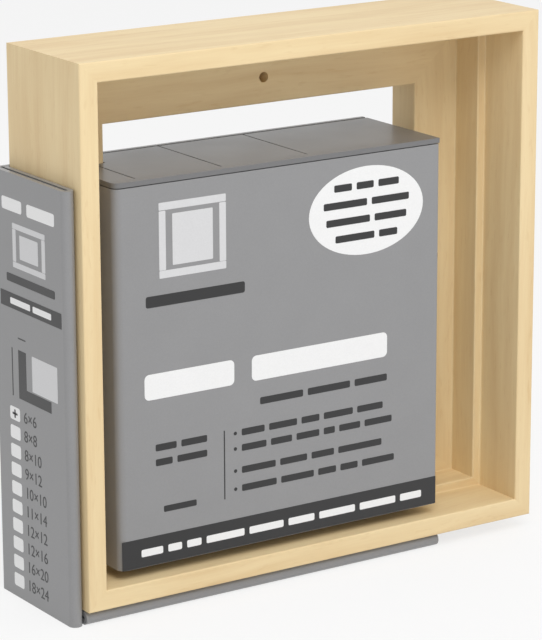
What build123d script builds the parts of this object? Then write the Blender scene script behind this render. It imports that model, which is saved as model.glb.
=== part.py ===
"""A square floating frame for a thin-edged artwork panel, held in its display carton.

The frame is four mitred rails with an L-shaped section: a thin front edge, a small step inward
part of the way back, and a wide ledge at the back that the artwork is screwed to. The carton is
corrugated board: a display box stands in the frame's recess and reaches through the back opening,
and a wrap folds round the outside of the left and bottom rails and across the back.

Units are millimetres. +X is to the right, +Y is to the back, +Z is up. The origin is the middle
of the base that the carton and frame stand on.
"""
import os

from build123d import *

os.makedirs("parts", exist_ok=True)

# ---- driving dimensions: the frame ----
panel_side = 152.4  # side of the square artwork panel
float_gap = 3.175  # open gap all round the panel
edge_face = 6.35  # width of the frame's front edge
frame_depth = 44.45  # front edge to back face
step_width = 3.0  # the inner wall steps in by this much
step_front = 19.8  # from the front edge back to the step
ledge_width = 17.0  # the ledge stands in this far past the step
ledge_thick = 12.7
arris_radius = 0.5  # softened long edges of every rail
screw_hole_radius = 1.7

# ---- driving dimensions: corner nails ----
nail_leg = 5.0
nail_sheet = 0.6
nail_depth = 10.0
nail_inset = 6.5  # from the outer corner to the first nail, along each rail
nail_pitch = 9.0
nail_clearance = 0.05

# ---- driving dimensions: the carton ----
board = 1.6  # thickness of the corrugated board
wrap_thick = 4.7  # outer face of a wrap to the rail it covers
wrap_gap = 0.4  # a wrap stands this far off the wood
label_recess = 2.5  # the side wrap's fold is behind the frame's front
base_recess = 1.8  # the base wrap's fold is behind the frame's front
web_gap = 0.5  # back panel to the frame's back face
box_recess = 3.5  # display box front behind the frame's front
box_side_gap = 3.95  # display box to the left rail's step
box_floor_gap = 0.45  # display box to the bottom rail's step
box_end_gap = 10.5  # display box to the right side of the back opening
box_head_gap = 12.1  # display box to the top of the back opening
ledge_clearance = 0.4  # display box to the front of the ledge
neck_clearance = 0.5  # neck of the display box to the back opening's edge
lid_clearance = 0.3
tab_clearance = 0.4
tab_reach = 14.0
tab_height = 60.0
fold_radius = 2.6  # rounded left front fold of the display box
crease_radius = 0.8  # sharper folds of the same board
lip_drop = 5.0
score_width = 0.5
score_depth = 0.5
score_places = (9.0, 40.0, 72.0)  # from the lid's left edge
card = 0.8  # thickness of the folded card tray
tray_height = 16.0
tray_margin = 0.6
leaflet_size = (104.0, 1.2, 84.0)
screw_length = 19.0
screw_radius = 1.7
screw_head_radius = 3.3
screw_head_height = 2.2
thread_pitch = 1.4
thread_depth = 0.35
small_screw_length = 10.0
small_screw_radius = 1.1
small_screw_head_radius = 2.2
small_screw_head_height = 1.3
clip_width = 9.0
clip_foot = 10.0
clip_rise = 5.0
clip_sheet = 1.2
clip_gap = 0.1  # small pieces lie this far apart
hanger_length = 45.0
hanger_width = 8.0
hanger_sheet = 0.8
hanger_tooth = 2.0

# ---- worked out from the driving dimensions ----
frame_side = panel_side + 2 * (float_gap + edge_face)
step_inset = edge_face + step_width
opening_inset = step_inset + ledge_width
ledge_front = frame_depth - ledge_thick
overall_depth = frame_depth + web_gap + board
left = -(frame_side + wrap_thick) / 2 + wrap_thick
right = left + frame_side
base = wrap_thick
head = base + frame_side
front = -overall_depth / 2
back = front + frame_depth
rear = front + overall_depth
middle_x = (left + right) / 2
middle_z = (base + head) / 2
hole_inset = step_inset + ledge_width / 2

box_left = left + step_inset + box_side_gap
box_right = right - opening_inset - box_end_gap
box_floor = base + step_inset + box_floor_gap
box_top = head - opening_inset - box_head_gap
box_front = front + box_recess
box_back = front + ledge_front - ledge_clearance
wall_top = box_top - board - lid_clearance
neck_left = left + opening_inset + neck_clearance
neck_floor = base + opening_inset + neck_clearance
neck_back = back + 0.05


def rail_profile():
    """Corners of the rail's section as (depth from the front, inset from the outer face)."""
    return [
        (0, 0),
        (0, edge_face),
        (step_front, edge_face),
        (step_front, step_inset),
        (ledge_front, step_inset),
        (ledge_front, opening_inset),
        (frame_depth, opening_inset),
        (frame_depth, 0),
    ]


# Each rail: plane at its start (x runs back, y runs in), its two outer corners, and its hole.
corner = {
    "bottom_left": (left, base),
    "bottom_right": (right, base),
    "top_right": (right, head),
    "top_left": (left, head),
}
rails = {
    "bottom_rail": ("bottom_left", "bottom_right", (1, 0, 0), (middle_x, base + hole_inset)),
    "right_rail": ("bottom_right", "top_right", (0, 0, 1), (right - hole_inset, middle_z)),
    "top_rail": ("top_right", "top_left", (-1, 0, 0), (middle_x, head - hole_inset)),
    "left_rail": ("top_left", "bottom_left", (0, 0, -1), (left + hole_inset, middle_z)),
}

# Plane on the frame's back face whose sketch axes are the frame's own x and z.
back_plane = Plane(origin=(0, back, 0), x_dir=(1, 0, 0), z_dir=(0, -1, 0))


def nail_outlines(grow):
    """Bent corner nails seen from the front: each elbow is on a mitre, one leg in each rail."""
    runs = {"bottom_left": (1, 1), "bottom_right": (-1, 1), "top_right": (-1, -1), "top_left": (1, -1)}
    for name, (run_x, run_z) in runs.items():
        x, z = corner[name]
        for number in range(2):
            inset = nail_inset + number * nail_pitch
            elbow_x = x + run_x * inset
            elbow_z = z + run_z * inset
            leg_x = elbow_x + run_x * nail_leg / 2
            leg_z = elbow_z + run_z * nail_leg / 2
            sheet = nail_sheet + 2 * grow
            with Locations((leg_x, elbow_z + run_z * nail_sheet / 2)):
                Rectangle(nail_leg + 2 * grow, sheet)
            with Locations((elbow_x + run_x * nail_sheet / 2, leg_z)):
                Rectangle(sheet, nail_leg + 2 * grow)


def build_rail(name):
    """One rail: the moulding's section run from corner to corner, mitred, slotted and drilled."""
    start, end, direction, hole = rails[name]
    x, z = corner[start]
    with BuildPart() as rail:
        with BuildSketch(Plane(origin=(x, front, z), x_dir=(0, 1, 0), z_dir=direction)) as section:
            with BuildLine():
                Polyline(*rail_profile(), close=True)
            make_face()
            fillet(section.vertices(), arris_radius)
        extrude(amount=frame_side)
        with BuildSketch(back_plane):
            with BuildLine():
                Polyline(corner[start], corner[end], (middle_x, middle_z), close=True)
            make_face()
        extrude(amount=frame_depth, mode=Mode.INTERSECT)
        with BuildSketch(back_plane):
            nail_outlines(nail_clearance)
        extrude(amount=nail_depth + nail_clearance, mode=Mode.SUBTRACT)
        with BuildSketch(back_plane):
            with Locations(hole):
                Circle(screw_hole_radius)
        extrude(amount=frame_depth, mode=Mode.SUBTRACT)
    rail.part.label = name
    return rail


def box_between(low, high, mode=Mode.ADD):
    """A block given by its lowest and highest corners."""
    size = [b - a for a, b in zip(low, high)]
    with Locations(tuple(low)):
        Box(*size, align=(Align.MIN, Align.MIN, Align.MIN), mode=mode)


def folded_section(plane, near, reach_out, reach_in):
    """Section of board folded double: two layers joined by a half-round fold at the front.

    The plane's x runs back and its y runs out from the rail, so the inner layer is at its origin
    and the outer layer lies wrap_thick - wrap_gap further out.
    """
    span = wrap_thick - wrap_gap
    turn = near + span / 2
    corner_low = (Align.MIN, Align.MIN)
    with BuildSketch(plane) as section:
        with Locations((turn, span / 2)):
            Circle(span / 2)
            Circle(span / 2 - board, mode=Mode.SUBTRACT)
        with Locations((turn, 0)):
            Rectangle(span, span, align=corner_low, mode=Mode.SUBTRACT)
            Rectangle(reach_in - turn, board, align=corner_low)
        with Locations((turn, span - board)):
            Rectangle(reach_out - turn, board, align=corner_low)
    return section.sketch


# ---- frame ----
frame_rails = [build_rail(name) for name in rails]

with BuildPart() as corner_nails:
    with BuildSketch(back_plane):
        nail_outlines(0)
    extrude(amount=nail_depth)
corner_nails.part.label = "corner_nails"

# ---- carton wrap: folds round the left and bottom rails and across the back ----
label_left = left - wrap_thick
# This section grows upwards from the ground.
label_plane = Plane(origin=(left - wrap_gap, front, 0), x_dir=(0, 1, 0), z_dir=(0, 0, 1))
label_section = folded_section(label_plane, label_recess, overall_depth, frame_depth)
with BuildPart() as label_wrap:
    extrude(label_section, amount=box_top)
label_wrap.part.label = "label_wrap"

# This section grows from the right end of the carton to the left rail's outer face.
base_plane = Plane(origin=(box_right, front, base - wrap_gap), x_dir=(0, 1, 0), z_dir=(-1, 0, 0))
base_section = folded_section(base_plane, base_recess, overall_depth, frame_depth)
with BuildPart() as base_wrap:
    extrude(base_section, amount=box_right - left)
base_wrap.part.label = "base_wrap"

with BuildPart() as back_web:
    box_between((label_left + board, rear - board, board), (box_right, rear, box_top))
back_web.part.label = "back_web"

tab_floor = (neck_floor + box_top - tab_height) / 2
tab_places = [neck_left + board + tab_clearance, box_right - board - tab_clearance - board]
with BuildPart() as tuck_tabs:
    for tab_x in tab_places:
        box_between(
            (tab_x, rear - board - tab_reach, tab_floor),
            (tab_x + board, rear - board, tab_floor + tab_height),
        )
    tab_ends = tuck_tabs.edges().filter_by(Axis.X).group_by(Axis.Y)[0]
    fillet(tab_ends, tab_reach / 3)
tuck_tabs.part.label = "tuck_tabs"

# ---- display box: stands in the recess and reaches through the back opening ----
with BuildPart() as display_tub:
    box_between((box_left, box_front, box_floor), (box_right, box_back, wall_top))
    front_edges = display_tub.edges().filter_by(Axis.Z).group_by(Axis.Y)[0]
    fillet(front_edges.sort_by(Axis.X)[0], fold_radius)
    fillet(front_edges.sort_by(Axis.X)[-1], crease_radius)
    box_between(
        (box_left + board, box_front + board, box_floor + board),
        (box_right - board, box_back - board, wall_top + 1),
        mode=Mode.SUBTRACT,
    )
    inner_edges = display_tub.edges().filter_by(Axis.Z).filter_by(
        lambda edge: abs(edge.center().Y - box_front - board) < 0.1
    )
    fillet(inner_edges.sort_by(Axis.X)[0], fold_radius - board)
    box_between(
        (neck_left + board, box_back - board, neck_floor + board),
        (box_right - board, box_back, wall_top + 1),
        mode=Mode.SUBTRACT,
    )
display_tub.part.label = "display_tub"

with BuildPart() as display_neck:
    box_between((neck_left, box_back, neck_floor), (box_right, neck_back, wall_top))
    box_between(
        (neck_left + board, box_back, neck_floor + board),
        (box_right - board, neck_back, wall_top),
        mode=Mode.SUBTRACT,
    )
display_neck.part.label = "display_neck"

flap_top = wall_top - lid_clearance
flap_front = box_front + fold_radius + lid_clearance
flap_back = box_back - board - lid_clearance
flap_reach = (flap_back - flap_front) * 0.9
flap_starts = {
    "left_dust_flap": (box_left + board, 1),
    "right_dust_flap": (box_right - board, -1),
}


def build_dust_flap(name):
    """A short flap folded in from the top of a side wall, with its free corners rounded off."""
    start, run = flap_starts[name]
    with BuildPart() as flap:
        with BuildSketch(Plane.XY.offset(flap_top - board)) as outline:
            with Locations((start + run * flap_reach / 2, (flap_front + flap_back) / 2)):
                Rectangle(flap_reach, flap_back - flap_front)
            free_corners = outline.vertices().sort_by(Axis.X)
            fillet(free_corners[-2:] if run > 0 else free_corners[:2], fold_radius)
        extrude(amount=board)
    flap.part.label = name
    return flap


dust_flaps = [build_dust_flap(name) for name in flap_starts]

# ---- lid of the display box: hinged on its front crease ----
lid_floor = box_top - board
lid_back = back - 2 * lid_clearance
with BuildPart() as lid:
    box_between((box_left, box_front, lid_floor), (box_right, lid_back, box_top))
    box_between(
        (box_left - 1, box_back, lid_floor - 1), (neck_left, lid_back + 1, box_top + 1), mode=Mode.SUBTRACT
    )
    lid_corner = lid.edges().filter_by(Axis.Z).group_by(Axis.Y)[0].sort_by(Axis.X)[0]
    fillet(lid_corner, fold_radius)
    box_between(
        (neck_left + 2 * board + tab_clearance, lid_back - board, lid_floor - lip_drop),
        (box_right - 2 * board - tab_clearance, lid_back, lid_floor),
    )
    for place in score_places:
        box_between(
            (box_left + place, box_front + 2 * board, box_top - score_depth),
            (box_left + place + score_width, lid_back, box_top),
            mode=Mode.SUBTRACT,
        )
lid.part.label = "lid"

# ---- hardware packed inside the display box ----
tray_left = box_left + board + tray_margin
tray_right = box_right - board - tray_margin
tray_front = box_front + board + tray_margin
leaflet_back = box_back - board - tray_margin
tray_back = leaflet_back - leaflet_size[1] - tray_margin
tray_floor = box_floor + board
with BuildPart() as hardware_tray:
    box_between((tray_left, tray_front, tray_floor), (tray_right, tray_back, tray_floor + tray_height))
    upright = hardware_tray.edges().filter_by(Axis.Z)
    fillet(upright, fold_radius)
    offset(amount=-card, openings=hardware_tray.faces().sort_by(Axis.Z)[-1])
hardware_tray.part.label = "hardware_tray"

with BuildPart() as instruction_leaflet:
    leaflet_left = middle_x - frame_side / 2 + opening_inset + board + 2 * tray_margin
    box_between(
        (leaflet_left, leaflet_back - leaflet_size[1], tray_floor),
        (
            min(leaflet_left + leaflet_size[0], tray_right),
            leaflet_back,
            min(tray_floor + leaflet_size[2], flap_top - board - tray_margin),
        ),
    )
instruction_leaflet.part.label = "instruction_leaflet"

# The loose hardware lies in two rows on the tray's floor.
tray_bed = tray_floor + card
tray_inner_front = tray_front + card
tray_inner_depth = tray_back - tray_front - 2 * card
row_y = [tray_inner_front + tray_inner_depth / 4, tray_inner_front + tray_inner_depth * 3 / 4]
first_x = tray_left + card + tray_margin


def threaded_outline(length, shank, head_radius, head_height):
    """Half outline of a screw as (along, out): a domed head, ring threads and a pointed tip."""
    tip = head_height + length - 2 * shank
    outline = [(0, 0), (0, head_radius * 0.7), (head_height * 0.4, head_radius)]
    outline += [(head_height, head_radius), (head_height, shank)]
    turns = int((tip - head_height) / thread_pitch)
    for turn in range(turns):
        along = head_height + (turn + 0.5) * thread_pitch
        outline += [(along, shank - thread_depth), (along + thread_pitch / 2, shank)]
    return outline + [(tip, shank - thread_depth), (head_height + length, 0)]


def lay_screws(places, outline, head_radius, head_height):
    """Slotted screws lying along +X on the tray, their heads starting at the given places."""
    height = tray_bed + head_radius
    with BuildPart() as screws:
        for x, y in places:
            with BuildSketch(Plane(origin=(x, y, height))):
                with BuildLine():
                    Polyline(*outline, close=True)
                make_face()
            revolve(axis=Axis((x, y, height), (1, 0, 0)))
            with Locations((x, y, height)):
                Box(head_height, 2 * head_radius, card, mode=Mode.SUBTRACT)
    return screws


screw_span = screw_head_height + screw_length + tray_margin
mounting_screws = lay_screws(
    [(first_x + column * screw_span, y) for column in range(2) for y in row_y],
    threaded_outline(screw_length, screw_radius, screw_head_radius, screw_head_height),
    screw_head_radius,
    screw_head_height,
)
mounting_screws.part.label = "mounting_screws"

clip_x = first_x + 2 * screw_span
clip_reach = 2 * clip_foot - clip_sheet
nest = clip_sheet + clip_gap  # the upper clip of a pair sits this far up and back from the lower
clip_outline = [
    (0, 0),
    (clip_foot, 0),
    (clip_foot, clip_rise - clip_sheet),
    (clip_reach, clip_rise - clip_sheet),
    (clip_reach, clip_rise),
    (clip_foot - clip_sheet, clip_rise),
    (clip_foot - clip_sheet, clip_sheet),
    (0, clip_sheet),
]
with BuildPart() as offset_clips:
    for y in row_y:
        for layer in range(2):
            start = (clip_x + nest - layer * nest, y + clip_width / 2, tray_bed + layer * nest)
            with BuildSketch(Plane(origin=start, x_dir=(1, 0, 0), z_dir=(0, -1, 0))):
                with BuildLine():
                    Polyline(*clip_outline, close=True)
                make_face()
            extrude(amount=clip_width)
            with Locations((start[0] + clip_foot / 2, y, start[2] + clip_sheet / 2)):
                Cylinder(screw_radius + clip_gap, clip_sheet + clip_gap, mode=Mode.SUBTRACT)
offset_clips.part.label = "offset_clips"

hanger_screws = lay_screws(
    [(clip_x + nest + clip_reach + tray_margin, y) for y in row_y],
    threaded_outline(
        small_screw_length, small_screw_radius, small_screw_head_radius, small_screw_head_height
    ),
    small_screw_head_radius,
    small_screw_head_height,
)
hanger_screws.part.label = "hanger_screws"

hanger_z = tray_bed + 2 * screw_head_radius + clip_gap
hanger_middle_y = tray_inner_front + tray_inner_depth / 2
hole_spread = hanger_length - 2 * hanger_tooth * 2
tooth_run = hole_spread - 4 * hanger_tooth
with BuildPart() as sawtooth_hanger:
    with BuildSketch(Plane.XY.offset(hanger_z)):
        with Locations((first_x + hanger_length / 2, hanger_middle_y)):
            RectangleRounded(hanger_length, hanger_width, hanger_width / 4)
            with GridLocations(hole_spread, 1, 2, 1):
                Circle(small_screw_radius + clip_gap, mode=Mode.SUBTRACT)
            with Locations((0, -hanger_width / 2)):
                with GridLocations(hanger_tooth, 1, int(tooth_run / hanger_tooth), 1):
                    RegularPolygon(hanger_tooth / 2, 4, rotation=45, mode=Mode.SUBTRACT)
    extrude(amount=hanger_sheet)
sawtooth_hanger.part.label = "sawtooth_hanger"

# ---- one file for each piece ----
pieces = frame_rails + dust_flaps
pieces += [corner_nails, label_wrap, base_wrap, back_web, tuck_tabs]
pieces += [display_tub, display_neck, lid]
pieces += [hardware_tray, instruction_leaflet]
pieces += [mounting_screws, offset_clips, hanger_screws, sawtooth_hanger]
for piece in pieces:
    export_step(piece.part, f"parts/{piece.part.label}.step")
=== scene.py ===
"""A floating frame in its display carton: finishes, printed panels, stage and camera.

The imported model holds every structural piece. This file gives those pieces their finishes, adds
the printed shapes as thin closed films of ink, and sets up a pale stage, lamps and camera.
Lengths are metres. +X is to the right, +Y is to the back and +Z is up.
"""
import math

import bpy
import numpy as np
from bpy.props import FloatProperty, FloatVectorProperty, PointerProperty
from mathutils import Matrix, Vector


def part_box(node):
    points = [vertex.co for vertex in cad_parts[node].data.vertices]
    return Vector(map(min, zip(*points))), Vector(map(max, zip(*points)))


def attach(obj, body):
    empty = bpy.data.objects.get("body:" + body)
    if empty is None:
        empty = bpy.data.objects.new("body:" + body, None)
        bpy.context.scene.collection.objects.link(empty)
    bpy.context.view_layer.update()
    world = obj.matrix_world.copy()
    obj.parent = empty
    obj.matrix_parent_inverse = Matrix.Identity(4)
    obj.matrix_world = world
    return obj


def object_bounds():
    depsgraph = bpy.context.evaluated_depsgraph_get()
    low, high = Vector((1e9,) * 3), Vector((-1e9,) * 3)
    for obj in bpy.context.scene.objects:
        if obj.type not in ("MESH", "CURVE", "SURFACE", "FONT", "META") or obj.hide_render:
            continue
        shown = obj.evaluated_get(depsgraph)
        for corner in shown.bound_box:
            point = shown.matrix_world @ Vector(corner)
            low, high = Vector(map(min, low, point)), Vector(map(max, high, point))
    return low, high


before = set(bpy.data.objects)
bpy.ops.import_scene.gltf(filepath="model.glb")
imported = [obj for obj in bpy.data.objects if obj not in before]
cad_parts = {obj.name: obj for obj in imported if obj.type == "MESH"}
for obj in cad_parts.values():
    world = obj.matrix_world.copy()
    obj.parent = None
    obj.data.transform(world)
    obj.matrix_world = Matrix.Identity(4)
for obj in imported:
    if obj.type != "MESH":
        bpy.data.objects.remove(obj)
CAD_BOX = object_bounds()

bl_info = {
    "name": "Floating frame finish",
    "version": (1, 0, 0),
    "blender": (4, 5, 0),
    "location": "View3D > Sidebar > Frame",
    "description": "Finishes for a floating frame in its display carton",
    "category": "Object",
}

MM = 0.001

# printed places, in millimetres on the face that carries them
MARK_LEFT, MARK_RIGHT = 15.5, 39.7
OVAL_X, OVAL_Z = 92.7, 103.2
SIZE_TOP, SIZE_STEP = 60.9, 6.12
SIZE_LETTER = 5.2

# camera turn in degrees, and the point it looks at from the frame's front lower left corner
CAMERA_ANGLES = (-33.41, 15.04, -0.23)
CAMERA_AIM = (0.0672, 0.0, 0.0835)

FLOOR_HALF = 3.0
FLOOR_GLOW = 0.75


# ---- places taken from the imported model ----
def low(node):
    """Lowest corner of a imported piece."""
    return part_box(node)[0]


def high(node):
    """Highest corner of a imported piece."""
    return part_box(node)[1]


PANEL_LEFT, PANEL_FRONT, PANEL_FLOOR = low("display_tub")
PANEL_RIGHT = high("display_tub").x
LABEL_X = low("label_wrap").x
LABEL_BACK = high("label_wrap").y


# ---- sizes and colours a user would change ----
class FinishSettings(bpy.types.PropertyGroup):
    wood_light: FloatVectorProperty(
        name="Pale wood", description="Colour of the early wood", subtype="COLOR", default=(0.86, 0.69, 0.41)
    )
    wood_dark: FloatVectorProperty(
        name="Dark wood", description="Colour of the late wood", subtype="COLOR", default=(0.68, 0.47, 0.235)
    )
    board_grey: FloatVectorProperty(
        name="Board grey",
        description="Printed grey of the carton",
        subtype="COLOR",
        default=(0.27, 0.27, 0.275),
    )
    board_black: FloatVectorProperty(
        name="Board black",
        description="Printed black of the carton",
        subtype="COLOR",
        default=(0.014, 0.014, 0.015),
    )
    kraft: FloatVectorProperty(
        name="Kraft", description="Bare board where it is cut", subtype="COLOR", default=(0.42, 0.27, 0.13)
    )
    ink_lift: FloatProperty(
        name="Ink thickness",
        description="Height of the print above the board",
        default=0.05 * MM,
        unit="LENGTH",
    )


class StageSettings(bpy.types.PropertyGroup):
    key_power: FloatProperty(name="Key power", description="Power of the main lamp in watts", default=7.0)
    fill_power: FloatProperty(name="Fill power", description="Power of the fill lamp in watts", default=1.6)
    sky: FloatProperty(name="Sky", description="Strength of the even light from all round", default=0.62)
    distance: FloatProperty(
        name="Camera distance", description="Camera to the point it looks at", default=0.9617, unit="LENGTH"
    )
    focal: FloatProperty(name="Lens", description="Focal length in millimetres", default=173.2)


# ---- small node helpers ----
def new_material(name):
    """An empty node material with its shader and output."""
    material = bpy.data.materials.new(name)
    material.use_nodes = True
    nodes = material.node_tree.nodes
    nodes.clear()
    shader = nodes.new("ShaderNodeBsdfPrincipled")
    output = nodes.new("ShaderNodeOutputMaterial")
    material.node_tree.links.new(shader.outputs["BSDF"], output.inputs["Surface"])
    return material, material.node_tree, shader


def put(tree, kind, inputs=(), **settings):
    """Add a node, set its properties, and link or set its inputs in order."""
    node = tree.nodes.new(kind)
    for key, value in settings.items():
        setattr(node, key, value)
    pairs = inputs.items() if isinstance(inputs, dict) else enumerate(inputs)
    for key, value in pairs:
        if isinstance(value, bpy.types.NodeSocket):
            tree.links.new(value, node.inputs[key])
        elif value is not None:
            node.inputs[key].default_value = value
    return node


def math_node(tree, operation, *inputs):
    """Result socket of one Math node."""
    return put(tree, "ShaderNodeMath", inputs, operation=operation).outputs[0]


def blend_colours(tree, amount, first, second):
    """Result socket of a colour mix; each colour is a socket or an RGB tuple."""
    node = tree.nodes.new("ShaderNodeMix")
    node.data_type = "RGBA"
    for socket, value in ((node.inputs[0], amount), (node.inputs[6], first), (node.inputs[7], second)):
        if isinstance(value, bpy.types.NodeSocket):
            tree.links.new(value, socket)
        elif isinstance(value, float):
            socket.default_value = value
        else:
            socket.default_value = (*value, 1.0)
    return node.outputs[2]


def new_group(name, inputs, outputs):
    """A node group with named sockets; returns its tree and its input and output nodes."""
    tree = bpy.data.node_groups.new(name, "ShaderNodeTree")
    for label, kind in inputs:
        tree.interface.new_socket(label, in_out="INPUT", socket_type=kind)
    for label, kind in outputs:
        tree.interface.new_socket(label, in_out="OUTPUT", socket_type=kind)
    return tree, tree.nodes.new("NodeGroupInput"), tree.nodes.new("NodeGroupOutput")


def use_group(tree, group, **inputs):
    """Place a node group in a material with its own values."""
    node = tree.nodes.new("ShaderNodeGroup")
    node.node_tree = bpy.data.node_groups[group]
    for key, value in inputs.items():
        socket = node.inputs[key.replace("_", " ")]
        if isinstance(value, bpy.types.NodeSocket):
            tree.links.new(value, socket)
        else:
            socket.default_value = value
    return node


VECTOR = "NodeSocketVector"
COLOUR = "NodeSocketColor"
VALUE = "NodeSocketFloat"


def build_wood_grain():
    """Straight maple grain along the group's X: fine fibres, slow growth bands and short flecks."""
    tree, given, result = new_group(
        "Wood grain",
        [("Place", VECTOR), ("Light", COLOUR), ("Dark", COLOUR)],
        [("Color", COLOUR), ("Roughness", VALUE), ("Height", VALUE)],
    )
    place = given.outputs["Place"]
    warp = put(tree, "ShaderNodeTexNoise", {"Vector": place, "Scale": 9.0, "Detail": 2.0})
    bent = put(tree, "ShaderNodeVectorMath", [warp.outputs["Color"], (0.5, 0.5, 0.5)], operation="SUBTRACT")
    bent = put(tree, "ShaderNodeVectorMath", [bent.outputs[0], (0.03, 0.012, 0.012)], operation="MULTIPLY")
    place = put(tree, "ShaderNodeVectorMath", [place, bent.outputs[0]]).outputs[0]
    along = put(tree, "ShaderNodeMapping", {"Vector": place, "Scale": (9.0, 170.0, 170.0)}).outputs[0]
    bands = put(tree, "ShaderNodeTexNoise", {"Vector": along, "Scale": 1.0, "Detail": 3.0, "Roughness": 0.55})
    thin = put(tree, "ShaderNodeMapping", {"Vector": place, "Scale": (60.0, 1500.0, 1500.0)}).outputs[0]
    fibres = put(tree, "ShaderNodeTexNoise", {"Vector": thin, "Scale": 1.0, "Detail": 2.0, "Roughness": 0.6})
    fleck_place = put(tree, "ShaderNodeMapping", {"Vector": place, "Scale": (160.0, 900.0, 900.0)}).outputs[0]
    flecks = put(tree, "ShaderNodeTexNoise", {"Vector": fleck_place, "Scale": 1.0, "Detail": 1.0})
    fleck = put(
        tree, "ShaderNodeMapRange", {"Value": flecks.outputs[0], "From Min": 0.62, "From Max": 0.75}
    ).outputs[0]
    broad = put(tree, "ShaderNodeTexNoise", {"Vector": place, "Scale": 22.0, "Detail": 3.0}).outputs[0]
    band = put(
        tree, "ShaderNodeMapRange", {"Value": bands.outputs[0], "From Min": 0.38, "From Max": 0.78}
    ).outputs[0]
    mix = math_node(tree, "MULTIPLY_ADD", fibres.outputs[0], 0.30, math_node(tree, "MULTIPLY", band, 0.55))
    mix = math_node(tree, "MULTIPLY_ADD", broad, 0.25, math_node(tree, "SUBTRACT", mix, 0.16))
    mix = math_node(tree, "MULTIPLY_ADD", fleck, 0.18, mix)
    mix = put(tree, "ShaderNodeClamp", [mix]).outputs[0]
    colour = blend_colours(tree, mix, given.outputs["Light"], given.outputs["Dark"])
    tree.links.new(colour, result.inputs["Color"])
    rough = put(tree, "ShaderNodeMapRange", {"Value": fibres.outputs[0], "To Min": 0.42, "To Max": 0.60})
    tree.links.new(rough.outputs[0], result.inputs["Roughness"])
    tree.links.new(math_node(tree, "SUBTRACT", fibres.outputs[0], fleck), result.inputs["Height"])


def build_board_skin():
    """Varnished board: slight mottle and fibre specks."""
    tree, given, result = new_group(
        "Board skin",
        [("Place", VECTOR), ("Ink", COLOUR), ("Mottle", VALUE)],
        [("Color", COLOUR), ("Roughness", VALUE), ("Height", VALUE)],
    )
    place = given.outputs["Place"]
    cloud = put(tree, "ShaderNodeTexNoise", {"Vector": place, "Scale": 60.0, "Detail": 4.0}).outputs[0]
    speck = put(tree, "ShaderNodeTexNoise", {"Vector": place, "Scale": 2200.0, "Detail": 2.0}).outputs[0]
    cloud_swing = math_node(tree, "SUBTRACT", cloud, 0.5)
    shade = math_node(tree, "MULTIPLY_ADD", cloud_swing, given.outputs["Mottle"], 1.0)
    grain = math_node(tree, "MULTIPLY_ADD", math_node(tree, "SUBTRACT", speck, 0.5), 0.10, shade)
    tint = put(tree, "ShaderNodeVectorMath", [given.outputs["Ink"]], operation="SCALE")
    tree.links.new(grain, tint.inputs["Scale"])
    tree.links.new(tint.outputs[0], result.inputs["Color"])
    rough = put(tree, "ShaderNodeMapRange", {"Value": cloud, "To Min": 0.34, "To Max": 0.50})
    tree.links.new(rough.outputs[0], result.inputs["Roughness"])
    tree.links.new(speck, result.inputs["Height"])


def finish_material(tree, shader, group, bump, distance):
    """Feed a group's colour, roughness and height into a shader."""
    tree.links.new(group.outputs["Color"], shader.inputs["Base Color"])
    if "Roughness" in group.outputs:
        tree.links.new(group.outputs["Roughness"], shader.inputs["Roughness"])
    relief = put(
        tree, "ShaderNodeBump", {"Strength": bump, "Distance": distance, "Height": group.outputs["Height"]}
    )
    tree.links.new(relief.outputs[0], shader.inputs["Normal"])


def wood_material(name, turn, shift, settings):
    """Maple whose grain runs along the rail: turn brings the rail's length onto the grain's X."""
    material, tree, shader = new_material(name)
    coords = put(tree, "ShaderNodeTexCoord").outputs["Object"]
    place = put(tree, "ShaderNodeMapping", {"Vector": coords, "Location": shift, "Rotation": turn}).outputs[0]
    group = use_group(
        tree, "Wood grain", Place=place, Light=(*settings.wood_light, 1), Dark=(*settings.wood_dark, 1)
    )
    finish_material(tree, shader, group, 0.25, 0.00012)
    shader.inputs["Specular IOR Level"].default_value = 0.35
    return material


def board_material(name, ink, mottle=0.10, coat=0.25):
    """Printed and varnished carton board in one ink."""
    material, tree, shader = new_material(name)
    coords = put(tree, "ShaderNodeTexCoord").outputs["Object"]
    group = use_group(tree, "Board skin", Place=coords, Ink=(*ink, 1), Mottle=mottle)
    finish_material(tree, shader, group, 0.12, 0.00005)
    shader.inputs["Coat Weight"].default_value = coat
    shader.inputs["Coat Roughness"].default_value = 0.22
    return material


def metal_material(name, colour, roughness):
    """Plated steel or brass with a fine drawn texture."""
    material, tree, shader = new_material(name)
    coords = put(tree, "ShaderNodeTexCoord").outputs["Object"]
    group = use_group(tree, "Board skin", Place=coords, Ink=(*colour, 1), Mottle=0.25)
    finish_material(tree, shader, group, 0.1, 0.00005)
    tree.links.remove(shader.inputs["Roughness"].links[0])
    shader.inputs["Roughness"].default_value = roughness
    shader.inputs["Metallic"].default_value = 1.0
    return material


# ---- mesh helpers ----
def make_piece(name, verts, faces, material, body):
    """A finished piece at the origin from arrays of points and faces."""
    mesh = bpy.data.meshes.new(name)
    mesh.from_pydata([tuple(v) for v in np.asarray(verts).tolist()], [], faces)
    mesh.update()
    piece = bpy.data.objects.new(name, mesh)
    bpy.context.scene.collection.objects.link(piece)
    piece.data.materials.append(material)
    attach(piece, body)
    return piece


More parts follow.
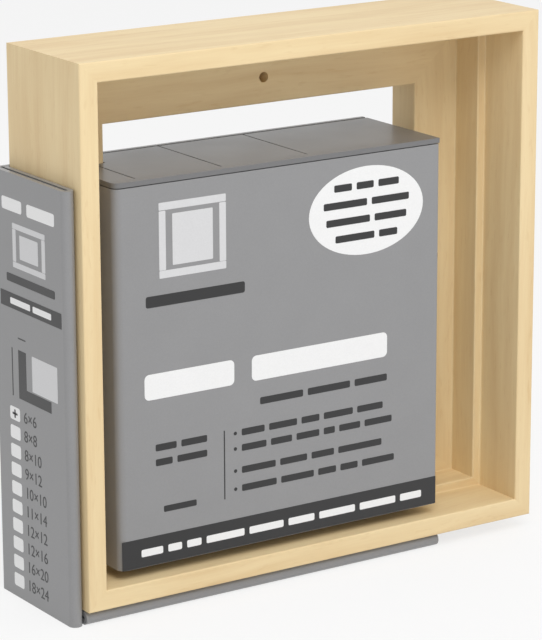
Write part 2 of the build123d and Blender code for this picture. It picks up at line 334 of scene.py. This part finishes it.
def rounded_outline(cx, cy, width, height, radius, steps=5):
    """Outline of a rounded rectangle, counter-clockwise: four quarter circles joined by its sides."""
    radius = min(radius, width / 2, height / 2)
    turn = np.linspace(0, math.pi / 2, steps)
    points = []
    for quarter, (sx, sy) in enumerate(((1, 1), (-1, 1), (-1, -1), (1, -1))):
        a = turn + quarter * math.pi / 2
        x = cx + sx * (width / 2 - radius) + radius * np.cos(a)
        y = cy + sy * (height / 2 - radius) + radius * np.sin(a)
        points.append(np.stack([x, y], axis=1))
    return np.concatenate(points)


def oval_outline(cx, cy, width, height, steps=64):
    """Outline of an ellipse, counter-clockwise, from its two half axes."""
    a = np.linspace(0, 2 * math.pi, steps, endpoint=False)
    return np.stack([cx + width / 2 * np.cos(a), cy + height / 2 * np.sin(a)], axis=1)


def print_shapes(name, outlines, place, lift, material, body):
    """Closed films of ink: each outline is laid on the board, raised by lift, and given its sides."""
    verts, faces = [], []
    for outline in outlines:
        count = len(outline)
        start = sum(len(v) for v in verts)
        verts.append(place(outline, 0.0))
        verts.append(place(outline, lift))
        ring = np.arange(count)
        after = (ring + 1) % count
        faces.append((start + count + ring).tolist())
        faces.append((start + ring[::-1]).tolist())
        sides = np.stack([ring, after, after + count, ring + count], axis=1) + start
        faces.extend(sides.tolist())
    return make_piece(name, np.concatenate(verts), faces, material, body)


def on_panel(outline, lift):
    """Panel millimetres, from its lower left corner, to places on the display box's front."""
    x = PANEL_LEFT + outline[:, 0] * MM
    z = PANEL_FLOOR + outline[:, 1] * MM
    return np.stack([x, np.full(len(x), PANEL_FRONT - lift), z], axis=1)


def on_label(outline, lift):
    """Label millimetres, from its lower back corner, to places on the side wrap's outer face."""
    y = LABEL_BACK - outline[:, 0] * MM
    z = outline[:, 1] * MM
    return np.stack([np.full(len(y), LABEL_X - lift), y, z], axis=1)


def bar(x0, x1, y, height, radius=0.3):
    """A printed bar between two places along a line."""
    return rounded_outline((x0 + x1) / 2, y, x1 - x0, height, radius)


def word_bars(x0, x1, y, height, words, seed):
    """A line of print shown as plain bars of uneven length, one for each word."""
    rng = np.random.default_rng(seed)
    lengths = rng.uniform(0.5, 1.5, words)
    gap = height * 0.8
    lengths *= (x1 - x0 - gap * (words - 1)) / lengths.sum()
    starts = x0 + np.concatenate([[0], np.cumsum(lengths[:-1] + gap)])
    return [bar(a, a + b, y, height, height * 0.2) for a, b in zip(starts, lengths)]


# ---- operators ----
class FRAME_OT_materials(bpy.types.Operator):
    """Build the shared node groups and every finish"""

    bl_idname = "frame.materials"
    bl_label = "Finishes"

    def execute(self, context):
        settings = context.scene.frame_finish
        build_wood_grain()
        build_board_skin()
        quarter = math.pi / 2
        wood_material("maple_top", (0, 0, 0), (0.11, 0.03, 0.02), settings)
        wood_material("maple_bottom", (0, 0, 0), (0.47, 0.21, 0.33), settings)
        wood_material("maple_left", (0, quarter, 0), (0.71, 0.09, 0.27), settings)
        wood_material("maple_right", (0, quarter, 0), (0.93, 0.41, 0.15), settings)
        board_material("board_grey", settings.board_grey)
        board_material("board_black", settings.board_black)
        # painted shade: the lid and neck take the board grey darkened to 0.62, standing in for the shade on
        # the box's top
        board_material("board_grey_painted_shade", [0.62 * c for c in settings.board_grey])
        board_material("ink_white", (0.86, 0.86, 0.86), 0.03)
        board_material("ink_pale", (0.66, 0.66, 0.67), 0.03)
        board_material("ink_black", (0.012, 0.012, 0.013), 0.03)
        board_material("kraft_face", settings.kraft, 0.35, 0.0)
        board_material("card_white", (0.72, 0.71, 0.68), 0.05, 0.0)
        metal_material("steel", (0.60, 0.61, 0.63), 0.32)
        metal_material("brass", (0.78, 0.56, 0.24), 0.28)
        return {"FINISHED"}


class FRAME_OT_packed_pieces(bpy.types.Operator):
    """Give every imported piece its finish"""

    bl_idname = "frame.packed_pieces"
    bl_label = "Packed pieces"

    def execute(self, context):
        finishes = {
            "top_rail": "maple_top",
            "bottom_rail": "maple_bottom",
            "left_rail": "maple_left",
            "right_rail": "maple_right",
            "corner_nails": "steel",
            "label_wrap": "board_grey",
            "base_wrap": "board_grey",
            "back_web": "board_grey",
            "tuck_tabs": "kraft_face",
            "display_tub": "board_grey",
            "display_neck": "board_grey_painted_shade",
            "left_dust_flap": "kraft_face",
            "right_dust_flap": "kraft_face",
            "lid": "board_grey_painted_shade",
            "hardware_tray": "card_white",
            "instruction_leaflet": "card_white",
            "mounting_screws": "steel",
            "offset_clips": "steel",
            "sawtooth_hanger": "steel",
            "hanger_screws": "brass",
        }
        for node, finish in finishes.items():
            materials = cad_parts[node].data.materials
            materials.clear()
            materials.append(bpy.data.materials[finish])
        return {"FINISHED"}


class FRAME_OT_front_print(bpy.types.Operator):
    """Print the display box's front: a picture mark, bars for words, an oval and a black band"""

    bl_idname = "frame.front_print"
    bl_label = "Front print"

    def execute(self, context):
        lift = context.scene.frame_finish.ink_lift
        width = (PANEL_RIGHT - PANEL_LEFT) / MM
        ink = bpy.data.materials
        mark = [
            bar(MARK_LEFT, MARK_RIGHT, 114.2, 2.4),
            bar(MARK_LEFT, MARK_RIGHT, 92.9, 2.4),
            bar(MARK_LEFT, MARK_LEFT + 2.4, 103.5, 18.6),
            bar(MARK_RIGHT - 2.4, MARK_RIGHT, 103.5, 18.6),
            bar(20.3, 34.9, 103.5, 16.2),
        ]
        print_shapes("front_mark", mark, on_panel, lift, ink["ink_pale"], "display_box")
        dark = word_bars(10.5, 46.5, 84.8, 3.6, 1, 3)
        dark += word_bars(52, 101, 46.8, 2.3, 3, 5)
        dark += word_bars(13.3, 32.1, 38.0, 2.2, 2, 7)
        dark += word_bars(13.3, 32.1, 33.2, 2.2, 2, 8)
        dark += word_bars(16.0, 28.0, 17.7, 2.0, 1, 9)
        dark.append(bar(38.3, 38.7, 28.0, 22.6, 0.05))
        for row, (height, end, words) in enumerate(
            ((37.7, 99.4, 5), (32.6, 103.0, 6), (25.3, 99.0, 4), (19.3, 104.0, 5))
        ):
            dark.append(oval_outline(42.6, height, 1.2, 1.2, 16))
            dark += word_bars(45.0, end, height, 2.2, words, 20 + row)
        print_shapes("front_small_print", dark, on_panel, lift, ink["ink_black"], "display_box")
        title = word_bars(9.6, 101, 57.8, 8.2, 2, 11)
        print_shapes("front_title", title, on_panel, lift, ink["ink_white"], "display_box")
        oval = [oval_outline(OVAL_X, OVAL_Z, 44.2, 28.7)]
        print_shapes("front_oval", oval, on_panel, lift, ink["ink_white"], "display_box")
        oval_words = []
        for row, (height, half, words) in enumerate(
            ((111.5, 12.5, 3), (106.0, 16.5, 2), (100.5, 15.5, 2), (95.0, 12.0, 2))
        ):
            oval_words += word_bars(OVAL_X - half, OVAL_X + half, height, 2.3, words, 40 + row)
        print_shapes("front_oval_words", oval_words, on_panel, 2 * lift, ink["ink_black"], "display_box")
        band = [bar(0.6, width - 0.3, 4.8, 9.4, 0.05)]
        print_shapes("front_band", band, on_panel, lift, ink["ink_black"], "display_box")
        band_words = word_bars(7.6, 115.1, 4.6, 2.4, 9, 60)
        print_shapes("front_band_words", band_words, on_panel, 2 * lift, ink["ink_white"], "display_box")
        return {"FINISHED"}


class FRAME_OT_label_print(bpy.types.Operator):
    """Print the side wrap: a title, a section drawing and a column of boxes beside plain sizes"""

    bl_idname = "frame.label_print"
    bl_label = "Label print"

    def execute(self, context):
        lift = context.scene.frame_finish.ink_lift
        ink = bpy.data.materials
        title = word_bars(5.5, 38.0, 127.8, 4.0, 2, 71)
        boxes = [rounded_outline(10.6, SIZE_TOP - SIZE_STEP * row, 6.3, 4.3, 0.8) for row in range(10)]
        print_shapes("label_white", title + boxes, on_label, lift, ink["ink_white"], "wrap")
        mark = [
            bar(11.8, 32.0, 121.4, 1.8),
            bar(11.8, 32.0, 109.2, 1.8),
            bar(11.8, 13.9, 115.3, 10.2),
            bar(29.9, 32.0, 115.3, 10.2),
            bar(16.2, 27.6, 115.3, 7.6),
        ]
        mark.append(bar(22.2, 37.9, 76.4, 11.4))
        print_shapes("label_pale", mark, on_label, lift, ink["ink_pale"], "wrap")
        section = np.array(
            [(13.6, 66.6), (33.8, 66.6), (33.8, 70.2), (18.4, 70.2), (18.4, 82.2), (13.6, 82.2)]
        )
        dark = [section, bar(3.3, 41.2, 97.3, 4.9, 0.1)]
        dark += word_bars(7.5, 37.5, 104.6, 2.6, 1, 73)
        dark += [bar(13.6, 18.4, 86.0, 0.4), bar(9.4, 9.9, 74.4, 15.6)]
        print_shapes("label_black", dark, on_label, lift, ink["ink_black"], "wrap")
        bar_words = word_bars(9.5, 35.0, 97.3, 2.0, 2, 75)
        print_shapes("label_bar_words", bar_words, on_label, 2 * lift, ink["ink_white"], "wrap")
        tick = [bar(9.0, 12.2, SIZE_TOP, 0.7), bar(10.2, 11.0, SIZE_TOP, 2.8)]
        print_shapes("label_tick", tick, on_label, 2 * lift, ink["ink_black"], "wrap")
        sizes = ("6×6", "8×8", "8×10", "9×12", "10×10", "11×14", "12×12", "12×16", "16×20", "18×24")
        for row, size in enumerate(sizes):
            self.number(size, row, lift)
        return {"FINISHED"}

    def number(self, size, row, lift):
        """One plain size, as a thin raised film beside its box."""
        curve = bpy.data.curves.new(f"label_size_{row}", "FONT")
        curve.body = size
        curve.size = SIZE_LETTER * MM
        curve.extrude = lift / 2
        curve.align_y = "CENTER"
        letters = bpy.data.objects.new(curve.name, curve)
        bpy.context.scene.collection.objects.link(letters)
        bpy.context.view_layer.update()
        mesh = bpy.data.meshes.new_from_object(letters)
        bpy.data.objects.remove(letters)
        place = Matrix(((0, 0, -1, 0), (-1, 0, 0, 0), (0, 1, 0, 0), (0, 0, 0, 1)))
        place.translation = (
            LABEL_X - lift / 2,
            LABEL_BACK - 16.0 * MM,
            (SIZE_TOP - SIZE_STEP * row) * MM,
        )
        mesh.transform(place)
        piece = bpy.data.objects.new(curve.name, mesh)
        bpy.context.scene.collection.objects.link(piece)
        mesh.materials.append(bpy.data.materials["ink_black"])
        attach(piece, "wrap")


class FRAME_OT_stage(bpy.types.Operator):
    """Set up the floor, the lamps, the sky and the camera"""

    bl_idname = "frame.stage"
    bl_label = "Stage"

    def execute(self, context):
        stage = context.scene.frame_stage
        self.floor()
        self.sky(context.scene, stage)
        self.lamp("key", (-0.25, -0.75, 1.05), 0.7, stage.key_power)
        self.lamp("fill", (0.95, -0.65, 0.45), 0.8, stage.fill_power)
        self.camera(context.scene, stage)
        context.scene.view_settings.view_transform = "Standard"
        return {"FINISHED"}

    def floor(self):
        """A flat pale floor that shows white and keeps the object's shadow."""
        half = FLOOR_HALF
        verts = [(-half, -half, 0), (half, -half, 0), (half, half, 0), (-half, half, 0)]
        mesh = bpy.data.meshes.new("floor")
        mesh.from_pydata(verts, [], [(0, 1, 2, 3)])
        floor = bpy.data.objects.new("floor", mesh)
        bpy.context.scene.collection.objects.link(floor)
        material, tree, shader = new_material("floor_pale")
        shader.inputs["Base Color"].default_value = (0.9, 0.9, 0.9, 1)
        shader.inputs["Roughness"].default_value = 0.9
        shader.inputs["Specular IOR Level"].default_value = 0.1
        rays = put(tree, "ShaderNodeLightPath")
        seen = math_node(tree, "MAXIMUM", rays.outputs["Is Camera Ray"], rays.outputs["Is Glossy Ray"])
        seen = math_node(tree, "MAXIMUM", seen, rays.outputs["Is Transmission Ray"])
        glow = put(tree, "ShaderNodeEmission", {"Color": (1, 1, 1, 1), "Strength": 1.0})
        share = math_node(tree, "MULTIPLY", seen, FLOOR_GLOW)
        mix = put(tree, "ShaderNodeMixShader", [share, shader.outputs[0], glow.outputs[0]])
        output = next(n for n in tree.nodes if n.bl_idname == "ShaderNodeOutputMaterial")
        tree.links.new(mix.outputs[0], output.inputs["Surface"])
        mesh.materials.append(material)

    def sky(self, scene, stage):
        """Even light from all round, seen as white by the camera and in reflections."""
        world = bpy.data.worlds.new("studio")
        scene.world = world
        world.use_nodes = True
        tree = world.node_tree
        background = next(n for n in tree.nodes if n.bl_idname == "ShaderNodeBackground")
        rays = put(tree, "ShaderNodeLightPath")
        seen = math_node(tree, "MAXIMUM", rays.outputs["Is Camera Ray"], rays.outputs["Is Glossy Ray"])
        seen = math_node(tree, "MAXIMUM", seen, rays.outputs["Is Transmission Ray"])
        strength = put(tree, "ShaderNodeMapRange", {"Value": seen, "To Min": stage.sky, "To Max": 1.0})
        tree.links.new(strength.outputs[0], background.inputs["Strength"])
        background.inputs["Color"].default_value = (1, 1, 1, 1)

    def lamp(self, name, place, size, power):
        """A soft square lamp aimed at the middle of the object."""
        data = bpy.data.lights.new(name, "AREA")
        data.shape = "SQUARE"
        data.size = size
        data.energy = power
        lamp = bpy.data.objects.new(name, data)
        bpy.context.scene.collection.objects.link(lamp)
        lamp.location = place
        aim = (CAD_BOX[0] + CAD_BOX[1]) / 2 - Vector(place)
        lamp.rotation_euler = aim.to_track_quat("-Z", "Y").to_euler()

    def camera(self, scene, stage):
        """A long lens looking at the frame from the left, the front and a little above."""
        data = bpy.data.cameras.new("camera")
        data.lens = stage.focal
        camera = bpy.data.objects.new("camera", data)
        scene.collection.objects.link(camera)
        azimuth, elevation, roll = (math.radians(a) for a in CAMERA_ANGLES)
        front_left = Vector((low("left_rail").x, low("left_rail").y, low("bottom_rail").z))
        target = front_left + Vector(CAMERA_AIM)
        back = Vector(
            (
                math.sin(azimuth) * math.cos(elevation),
                -math.cos(azimuth) * math.cos(elevation),
                math.sin(elevation),
            )
        )
        camera.location = target + back * stage.distance
        turn = (-back).to_track_quat("-Z", "Y").to_matrix().to_4x4() @ Matrix.Rotation(roll, 4, "Z")
        camera.rotation_euler = turn.to_euler()
        data.clip_start = 0.05
        scene.camera = camera


OPERATORS = (
    FRAME_OT_materials,
    FRAME_OT_packed_pieces,
    FRAME_OT_front_print,
    FRAME_OT_label_print,
    FRAME_OT_stage,
)


class FRAME_PT_panel(bpy.types.Panel):
    """Sidebar list of the finish and stage settings and the steps that use them"""

    bl_idname = "FRAME_PT_panel"
    bl_label = "Floating frame"
    bl_space_type = "VIEW_3D"
    bl_region_type = "UI"
    bl_category = "Frame"

    def draw(self, context):
        for group in (context.scene.frame_finish, context.scene.frame_stage):
            for name in group.__annotations__:
                self.layout.prop(group, name)
        for operator in OPERATORS:
            self.layout.operator(operator.bl_idname)


CLASSES = (FinishSettings, StageSettings, *OPERATORS, FRAME_PT_panel)


def register():
    for cls in CLASSES:
        bpy.utils.register_class(cls)
    bpy.types.Scene.frame_finish = PointerProperty(type=FinishSettings)
    bpy.types.Scene.frame_stage = PointerProperty(type=StageSettings)


def unregister():
    del bpy.types.Scene.frame_stage
    del bpy.types.Scene.frame_finish
    for cls in reversed(CLASSES):
        bpy.utils.unregister_class(cls)


def main():
    """Build everything in order."""
    register()
    for operator in OPERATORS:
        group, name = operator.bl_idname.split(".")
        getattr(getattr(bpy.ops, group), name)()


if __name__ == "__main__":
    main()
